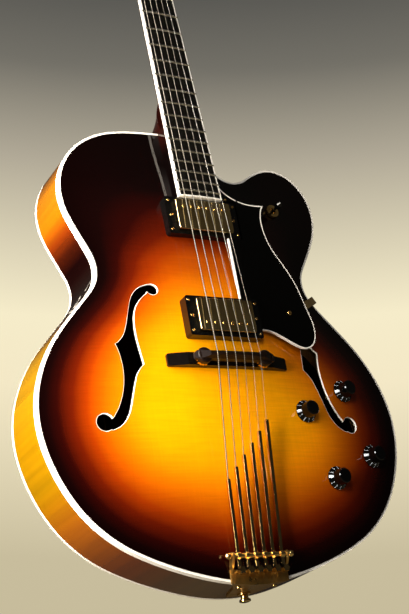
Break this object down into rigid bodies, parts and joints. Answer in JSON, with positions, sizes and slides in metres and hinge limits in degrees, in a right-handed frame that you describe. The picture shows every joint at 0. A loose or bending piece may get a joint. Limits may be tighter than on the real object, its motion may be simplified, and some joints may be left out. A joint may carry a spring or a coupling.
{
  "type": "archtop guitar",
  "caption": "Hollow archtop electric guitar with a cutaway, carved sunburst top, sound holes, covered pickups, floating bridge and finger tailpiece.",
  "frame": {"origin": "seat of the strap button on the tail, on the centre line and half way through the rim", "axes": "+Z along the strings towards the headstock, -Y out of the front, +X to the treble side"},
  "size_m": [0.4356, 0.1235, 1.0632],
  "materials": {
    "sunburst_spruce": "gloss lacquer sunburst over carved spruce",
    "sunburst_maple": "gloss lacquer sunburst over carved maple",
    "flame_maple_rim": "gloss lacquer over bent flamed maple",
    "bare_spruce": "bare planed spruce",
    "ivory_binding": "polished ivory-coloured binding",
    "neck_maple": "dark red-brown gloss lacquer over maple",
    "plain_steel": "plain steel",
    "ebony": "oiled ebony",
    "nickel_silver": "polished fret wire",
    "bone": "polished bone",
    "black_veneer": "black gloss lacquered veneer",
    "gold_plate": "gold plated brass",
    "black_plastic": "polished black plastic",
    "string_steel": "wound and plain steel string"
  },
  "bodies": {
    "body": {"top_plate": "sunburst_spruce", "back_plate": "sunburst_maple", "rim": "flame_maple_rim", "linings": "bare_spruce", "body_blocks": "bare_spruce", "tone_bars": "bare_spruce", "body_bindings": "ivory_binding", "neck": "neck_maple", "truss_rod": "plain_steel", "fretboard": "ebony", "fretboard_binding": "ivory_binding", "frets": "nickel_silver", "nut": "bone", "headstock_veneer": "black_veneer", "tuner_housings": "gold_plate", "pickup_rings": "black_plastic", "pickup_covers": "gold_plate", "pickup_coils": "black_plastic", "bridge_base": "ebony", "bridge_posts": "gold_plate", "strings": "string_steel", "tail_plate": "gold_plate", "tail_rod": "gold_plate", "strap_button": "gold_plate", "pickguard": "black_plastic", "pickguard_bracket": "gold_plate", "control_housings": "plain_steel", "output_jack": "gold_plate"},
    "bridge_saddle": {"bridge_saddle": "ebony"},
    "thumbwheel_bass": {"thumbwheel_bass": "gold_plate"},
    "thumbwheel_treble": {"thumbwheel_treble": "gold_plate"},
    "toggle_lever": {"toggle_lever": "black_plastic"},
    "knob_neck_volume": {"knob_neck_volume": "black_plastic"},
    "knob_bridge_volume": {"knob_bridge_volume": "black_plastic"},
    "knob_neck_tone": {"knob_neck_tone": "black_plastic"},
    "knob_bridge_tone": {"knob_bridge_tone": "black_plastic"},
    "tuner_post_1": {"tuner_post_1": "gold_plate"},
    "tuner_button_1": {"tuner_button_1": "gold_plate"},
    "tailpiece_finger_1": {"tailpiece_finger_1": "gold_plate"},
    "fine_tune_screw_1": {"fine_tune_screw_1": "gold_plate"},
    "tuner_post_2": {"tuner_post_2": "gold_plate"},
    "tuner_button_2": {"tuner_button_2": "gold_plate"},
    "tailpiece_finger_2": {"tailpiece_finger_2": "gold_plate"},
    "fine_tune_screw_2": {"fine_tune_screw_2": "gold_plate"},
    "tuner_post_3": {"tuner_post_3": "gold_plate"},
    "tuner_button_3": {"tuner_button_3": "gold_plate"},
    "tailpiece_finger_3": {"tailpiece_finger_3": "gold_plate"},
    "fine_tune_screw_3": {"fine_tune_screw_3": "gold_plate"},
    "tuner_post_4": {"tuner_post_4": "gold_plate"},
    "tuner_button_4": {"tuner_button_4": "gold_plate"},
    "tailpiece_finger_4": {"tailpiece_finger_4": "gold_plate"},
    "fine_tune_screw_4": {"fine_tune_screw_4": "gold_plate"},
    "tuner_post_5": {"tuner_post_5": "gold_plate"},
    "tuner_button_5": {"tuner_button_5": "gold_plate"},
    "tailpiece_finger_5": {"tailpiece_finger_5": "gold_plate"},
    "fine_tune_screw_5": {"fine_tune_screw_5": "gold_plate"},
    "tuner_post_6": {"tuner_post_6": "gold_plate"},
    "tuner_button_6": {"tuner_button_6": "gold_plate"},
    "tailpiece_finger_6": {"tailpiece_finger_6": "gold_plate"},
    "fine_tune_screw_6": {"fine_tune_screw_6": "gold_plate"}
  },
  "joints": [
    {"name": "saddle_height", "type": "slide", "parent": "body", "child": "bridge_saddle", "axis": [0, 1, 0], "range_m": [0, 0.002]},
    {"name": "thumbwheel_bass_turn", "type": "hinge", "parent": "bridge_saddle", "child": "thumbwheel_bass", "pos_m": [-0.037, -0.0629, 0.23], "axis": [0, 1, 0], "range_deg": [-5, 905]},
    {"name": "thumbwheel_treble_turn", "type": "hinge", "parent": "bridge_saddle", "child": "thumbwheel_treble", "pos_m": [0.037, -0.0629, 0.23], "axis": [0, 1, 0], "range_deg": [-5, 905]},
    {"name": "knob_neck_volume_turn", "type": "hinge", "parent": "body", "child": "knob_neck_volume", "pos_m": [0.14688, -0.04137, 0.20371], "axis": [0.1323, -0.9907, 0.0302], "range_deg": [-150, 150]},
    {"name": "knob_bridge_volume_turn", "type": "hinge", "parent": "body", "child": "knob_bridge_volume", "pos_m": [0.0877, -0.04713, 0.17714], "axis": [0.0623, -0.9979, -0.0151], "range_deg": [-150, 150]},
    {"name": "knob_neck_tone_turn", "type": "hinge", "parent": "body", "child": "knob_neck_tone", "pos_m": [0.17021, -0.0374, 0.12973], "axis": [0.1326, -0.9899, -0.0502], "range_deg": [-150, 150]},
    {"name": "knob_bridge_tone_turn", "type": "hinge", "parent": "body", "child": "knob_bridge_tone", "pos_m": [0.11426, -0.04195, 0.10394], "axis": [0.0846, -0.9929, -0.0841], "range_deg": [-150, 150]},
    {"name": "toggle_throw", "type": "hinge", "parent": "body", "child": "toggle_lever", "pos_m": [0.10725, -0.03456, 0.43022], "axis": [0.9986, 0.053, 0], "range_deg": [-12, 12]},
    {"name": "tuner_button_1_turn", "type": "hinge", "parent": "body", "child": "tuner_button_1", "pos_m": [-0.029, 0.00486, 0.91929], "axis": [-1, 0, 0], "continuous": true},
    {"name": "tuner_post_1_turn", "type": "hinge", "parent": "body", "child": "tuner_post_1", "pos_m": [-0.029, -0.02055, 0.91996], "axis": [0, -0.9568, 0.2907], "continuous": true},
    {"name": "tuner_button_2_turn", "type": "hinge", "parent": "body", "child": "tuner_button_2", "pos_m": [-0.03, 0.01648, 0.95756], "axis": [-1, 0, 0], "continuous": true},
    {"name": "tuner_post_2_turn", "type": "hinge", "parent": "body", "child": "tuner_post_2", "pos_m": [-0.03, -0.00892, 0.95823], "axis": [0, -0.9568, 0.2907], "continuous": true},
    {"name": "tuner_button_3_turn", "type": "hinge", "parent": "body", "child": "tuner_button_3", "pos_m": [-0.031, 0.02811, 0.99584], "axis": [-1, 0, 0], "continuous": true},
    {"name": "tuner_post_3_turn", "type": "hinge", "parent": "body", "child": "tuner_post_3", "pos_m": [-0.031, 0.00271, 0.9965], "axis": [0, -0.9568, 0.2907], "continuous": true},
    {"name": "tuner_button_4_turn", "type": "hinge", "parent": "body", "child": "tuner_button_4", "pos_m": [0.031, 0.02811, 0.99584], "axis": [1, 0, 0], "continuous": true},
    {"name": "tuner_post_4_turn", "type": "hinge", "parent": "body", "child": "tuner_post_4", "pos_m": [0.031, 0.00271, 0.9965], "axis": [0, -0.9568, 0.2907], "continuous": true},
    {"name": "tuner_button_5_turn", "type": "hinge", "parent": "body", "child": "tuner_button_5", "pos_m": [0.03, 0.01648, 0.95756], "axis": [1, 0, 0], "continuous": true},
    {"name": "tuner_post_5_turn", "type": "hinge", "parent": "body", "child": "tuner_post_5", "pos_m": [0.03, -0.00892, 0.95823], "axis": [0, -0.9568, 0.2907], "continuous": true},
    {"name": "tuner_button_6_turn", "type": "hinge", "parent": "body", "child": "tuner_button_6", "pos_m": [0.029, 0.00486, 0.91929], "axis": [1, 0, 0], "continuous": true},
    {"name": "tuner_post_6_turn", "type": "hinge", "parent": "body", "child": "tuner_post_6", "pos_m": [0.029, -0.02055, 0.91996], "axis": [0, -0.9568, 0.2907], "continuous": true},
    {"name": "tailpiece_finger_1_swing", "type": "hinge", "parent": "body", "child": "tailpiece_finger_1", "pos_m": [-0.0255, -0.0421, 0.026], "axis": [1, 0, 0], "range_deg": [-0.9, 0.9]},
    {"name": "fine_tune_screw_1_turn", "type": "hinge", "parent": "tailpiece_finger_1", "child": "fine_tune_screw_1", "pos_m": [-0.0255, -0.0421, 0.011], "axis": [0, -1, 0], "range_deg": [-170, 170]},
    {"name": "tailpiece_finger_2_swing", "type": "hinge", "parent": "body", "child": "tailpiece_finger_2", "pos_m": [-0.0153, -0.0421, 0.026], "axis": [1, 0, 0], "range_deg": [-0.9, 0.9]},
    {"name": "fine_tune_screw_2_turn", "type": "hinge", "parent": "tailpiece_finger_2", "child": "fine_tune_screw_2", "pos_m": [-0.0153, -0.0421, 0.011], "axis": [0, -1, 0], "range_deg": [-170, 170]},
    {"name": "tailpiece_finger_3_swing", "type": "hinge", "parent": "body", "child": "tailpiece_finger_3", "pos_m": [-0.0051, -0.0421, 0.026], "axis": [1, 0, 0], "range_deg": [-0.9, 0.9]},
    {"name": "fine_tune_screw_3_turn", "type": "hinge", "parent": "tailpiece_finger_3", "child": "fine_tune_screw_3", "pos_m": [-0.0051, -0.0421, 0.011], "axis": [0, -1, 0], "range_deg": [-170, 170]},
    {"name": "tailpiece_finger_4_swing", "type": "hinge", "parent": "body", "child": "tailpiece_finger_4", "pos_m": [0.0051, -0.0421, 0.026], "axis": [1, 0, 0], "range_deg": [-0.9, 0.9]},
    {"name": "fine_tune_screw_4_turn", "type": "hinge", "parent": "tailpiece_finger_4", "child": "fine_tune_screw_4", "pos_m": [0.0051, -0.0421, 0.011], "axis": [0, -1, 0], "range_deg": [-170, 170]},
    {"name": "tailpiece_finger_5_swing", "type": "hinge", "parent": "body", "child": "tailpiece_finger_5", "pos_m": [0.0153, -0.0421, 0.026], "axis": [1, 0, 0], "range_deg": [-0.9, 0.9]},
    {"name": "fine_tune_screw_5_turn", "type": "hinge", "parent": "tailpiece_finger_5", "child": "fine_tune_screw_5", "pos_m": [0.0153, -0.0421, 0.011], "axis": [0, -1, 0], "range_deg": [-170, 170]},
    {"name": "tailpiece_finger_6_swing", "type": "hinge", "parent": "body", "child": "tailpiece_finger_6", "pos_m": [0.0255, -0.0421, 0.026], "axis": [1, 0, 0], "range_deg": [-0.9, 0.9]},
    {"name": "fine_tune_screw_6_turn", "type": "hinge", "parent": "tailpiece_finger_6", "child": "fine_tune_screw_6", "pos_m": [0.0255, -0.0421, 0.011], "axis": [0, -1, 0], "range_deg": [-170, 170]}
  ],
  "couplings": [
    {"joint": "thumbwheel_bass_turn", "follows": "saddle_height", "rad_per_m": 7854},
    {"joint": "thumbwheel_treble_turn", "follows": "saddle_height", "rad_per_m": 7854},
    {"joint": "tuner_post_1_turn", "follows": "tuner_button_1_turn", "ratio": -0.066667},
    {"joint": "tuner_post_2_turn", "follows": "tuner_button_2_turn", "ratio": -0.066667},
    {"joint": "tuner_post_3_turn", "follows": "tuner_button_3_turn", "ratio": -0.066667},
    {"joint": "tuner_post_4_turn", "follows": "tuner_button_4_turn", "ratio": -0.066667},
    {"joint": "tuner_post_5_turn", "follows": "tuner_button_5_turn", "ratio": -0.066667},
    {"joint": "tuner_post_6_turn", "follows": "tuner_button_6_turn", "ratio": -0.066667},
    {"joint": "fine_tune_screw_1_turn", "follows": "tailpiece_finger_1_swing", "ratio": 188.5},
    {"joint": "fine_tune_screw_2_turn", "follows": "tailpiece_finger_2_swing", "ratio": 188.5},
    {"joint": "fine_tune_screw_3_turn", "follows": "tailpiece_finger_3_swing", "ratio": 188.5},
    {"joint": "fine_tune_screw_4_turn", "follows": "tailpiece_finger_4_swing", "ratio": 188.5},
    {"joint": "fine_tune_screw_5_turn", "follows": "tailpiece_finger_5_swing", "ratio": 188.5},
    {"joint": "fine_tune_screw_6_turn", "follows": "tailpiece_finger_6_swing", "ratio": 188.5}
  ]
}
